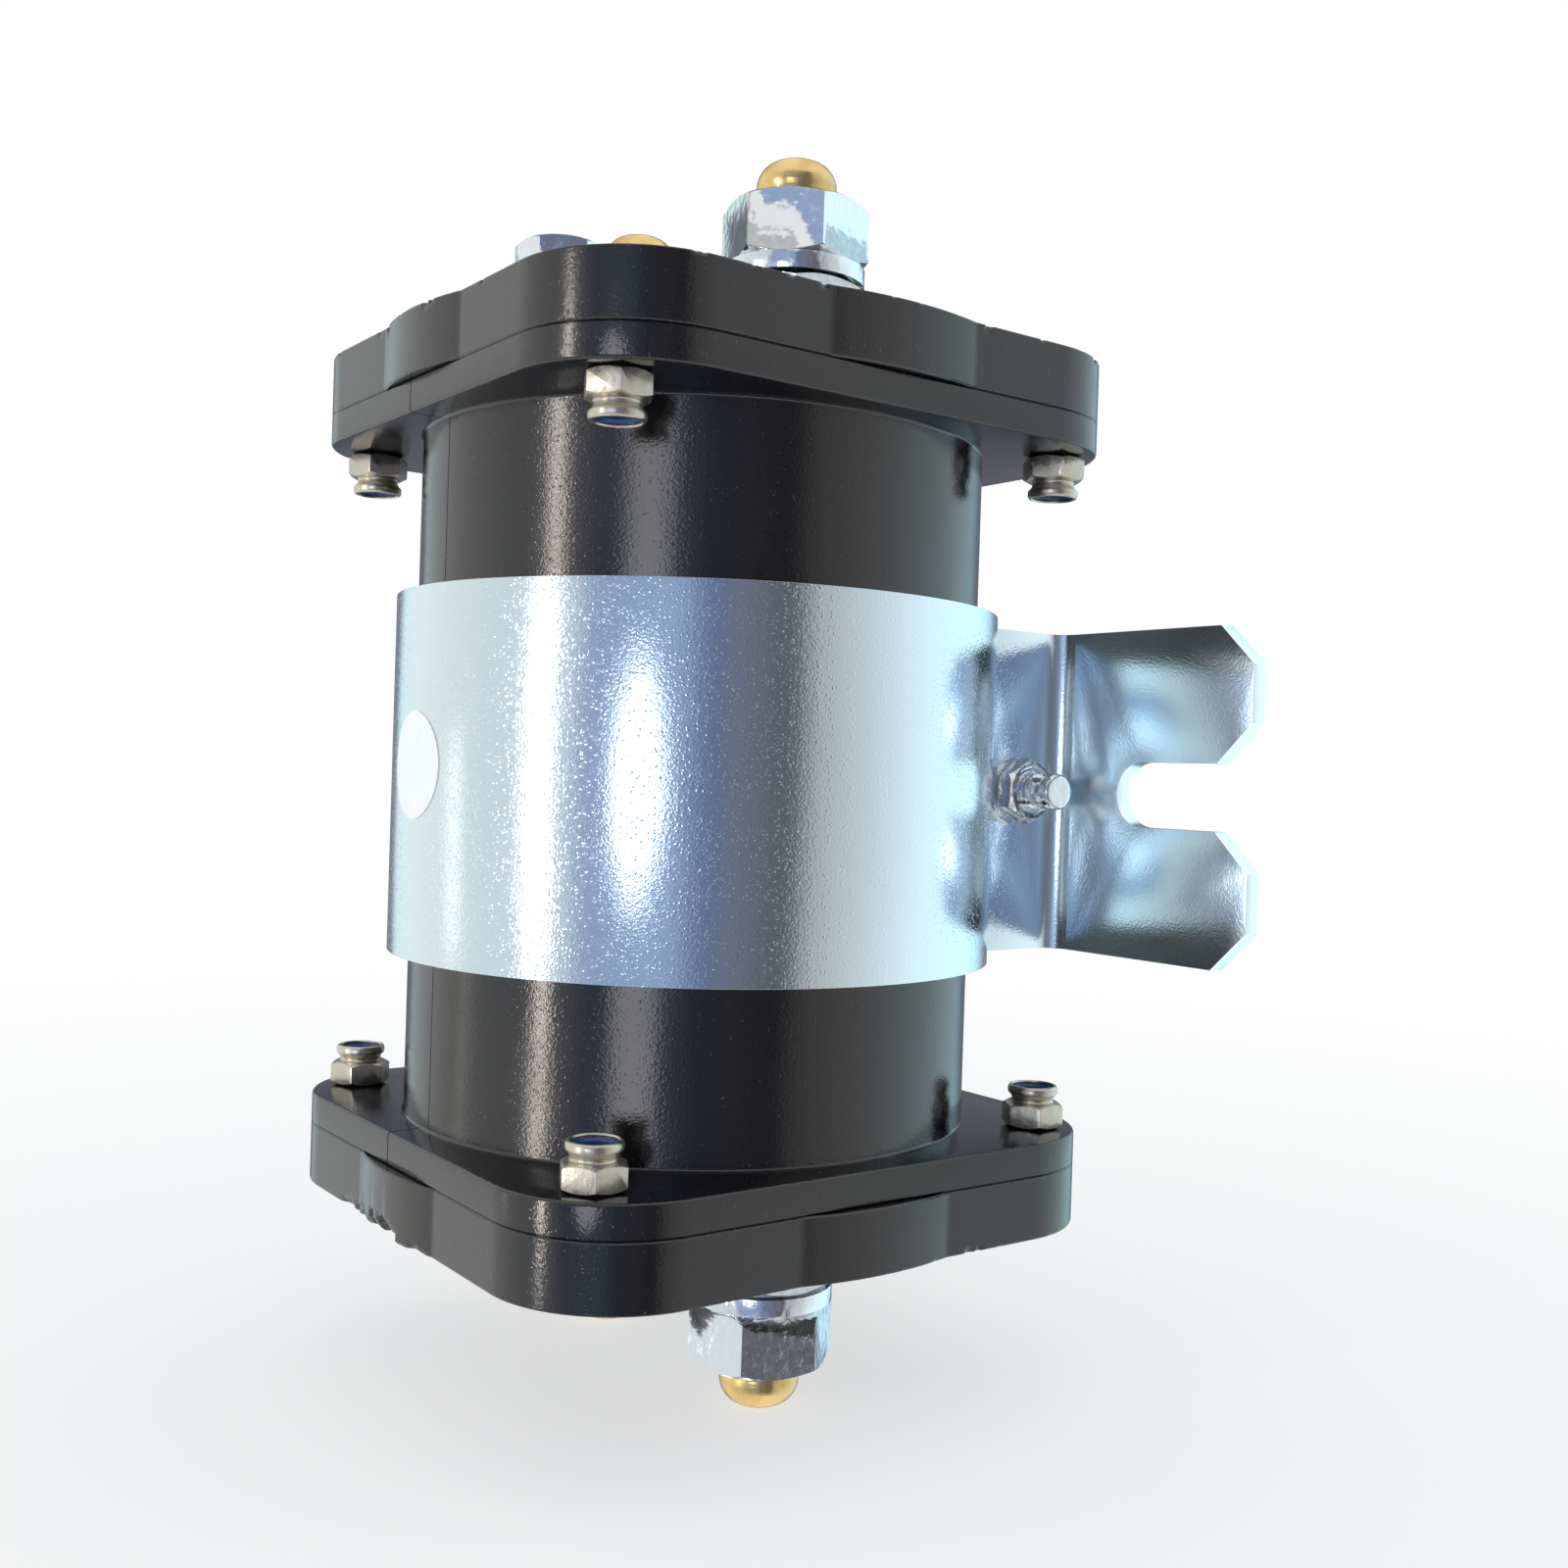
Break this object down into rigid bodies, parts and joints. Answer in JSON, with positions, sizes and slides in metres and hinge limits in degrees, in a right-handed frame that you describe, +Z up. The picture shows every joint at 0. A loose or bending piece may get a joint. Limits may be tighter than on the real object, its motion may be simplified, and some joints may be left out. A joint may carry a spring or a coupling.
{
  "type": "power solenoid",
  "caption": "Double-ended contactor solenoid: black moulded case with lobed end caps, brass stud terminals at both ends and a zinc-plated strap with slotted mounting ears.",
  "frame": {"origin": "centre of the plane of the two ears' mounting faces, at mid-height", "axes": "+Z up along the solenoid's axis towards the end with the coil terminals, +Y out of the mounting faces into the panel, +X towards the ear that the picture shows"},
  "size_m": [0.1014, 0.0963, 0.1544],
  "materials": {
    "moulded_black": "glossy moulded phenolic, lightly scuffed",
    "zinc_strap": "blue-white zinc plate over rolled sheet, scratched",
    "zinc_hardware": "bright zinc plate",
    "zinc_lock_nut": "bright zinc plate with a faint yellow cast",
    "blue_nylon": "dark blue nylon",
    "paper_label": "bare white paper",
    "brass": "turned brass",
    "copper": "bare copper",
    "copper_winding": "enamelled copper wire",
    "bobbin_nylon": "natural nylon",
    "red_fibre": "vulcanised fibre",
    "soft_iron": "bare soft iron",
    "spring_steel": "bright spring wire"
  },
  "bodies": {
    "root": {"bobbin": "bobbin_nylon", "bottom_cap": "moulded_black", "bottom_pole_plate": "soft_iron", "cap_screws_bottom": "zinc_hardware", "cap_screws_top": "zinc_hardware", "clamp_bolt": "zinc_hardware", "clamp_nut": "zinc_hardware", "clamp_washer": "zinc_hardware", "coil_housing": "moulded_black", "coil_leads": "copper", "coil_lower_nuts": "zinc_hardware", "coil_outer_nuts": "zinc_hardware", "coil_spring_washers": "zinc_hardware", "coil_studs": "brass", "coil_washers": "zinc_hardware", "core_bush": "brass", "fixed_core": "soft_iron", "guide_tube": "brass", "lock_nuts_bottom": "zinc_lock_nut", "lock_nuts_top": "zinc_lock_nut", "lower_nut_bottom_left": "zinc_hardware", "lower_nut_bottom_right": "zinc_hardware", "lower_nut_top_left": "zinc_hardware", "lower_nut_top_right": "zinc_hardware", "lower_spacer_ring": "red_fibre", "main_stud_bottom_left": "brass", "main_stud_bottom_right": "brass", "main_stud_top_left": "brass", "main_stud_top_right": "brass", "mounting_strap": "zinc_strap", "nylon_inserts_bottom": "blue_nylon", "nylon_inserts_top": "blue_nylon", "outer_nut_bottom_left": "zinc_hardware", "outer_nut_bottom_right": "zinc_hardware", "outer_nut_top_left": "zinc_hardware", "outer_nut_top_right": "zinc_hardware", "return_spring": "spring_steel", "round_label": "paper_label", "spring_washers_bottom": "zinc_hardware", "spring_washers_top": "zinc_hardware", "terminal_washers_bottom": "zinc_hardware", "terminal_washers_top": "zinc_hardware", "top_cap": "moulded_black", "top_pole_plate": "soft_iron", "upper_spacer_ring": "red_fibre", "winding": "copper_winding", "yoke_tube": "soft_iron"},
    "plunger_assembly": {"plunger": "soft_iron", "push_rod": "spring_steel", "rod_nuts": "zinc_hardware", "spring_seats": "zinc_hardware", "retaining_clips": "spring_steel", "upper_contact_spring": "spring_steel", "lower_contact_spring": "spring_steel"},
    "upper_bridge": {"upper_contact_bridge": "copper", "upper_bridge_bush": "red_fibre", "upper_bridge_washer": "red_fibre"},
    "lower_bridge": {"lower_contact_bridge": "copper", "lower_bridge_bush": "red_fibre", "lower_bridge_washer": "red_fibre"}
  },
  "joints": [
    {"name": "plunger_slide", "type": "slide", "parent": "root", "child": "plunger_assembly", "axis": [0, 0, 1], "range_m": [0, 0.0034], "stiffness_N_per_m": 1500, "springref_m": -0.006, "deforming": ["return_spring"]},
    {"name": "upper_bridge_yield", "type": "slide", "parent": "plunger_assembly", "child": "upper_bridge", "axis": [0, 0, -1], "range_m": [0, 0.0008], "stiffness_N_per_m": 3000, "springref_m": -0.002, "deforming": ["upper_contact_spring"]},
    {"name": "lower_bridge_yield", "type": "slide", "parent": "plunger_assembly", "child": "lower_bridge", "axis": [0, 0, 1], "range_m": [0, 0.0008], "stiffness_N_per_m": 3000, "springref_m": -0.002, "deforming": ["lower_contact_spring"]}
  ]
}
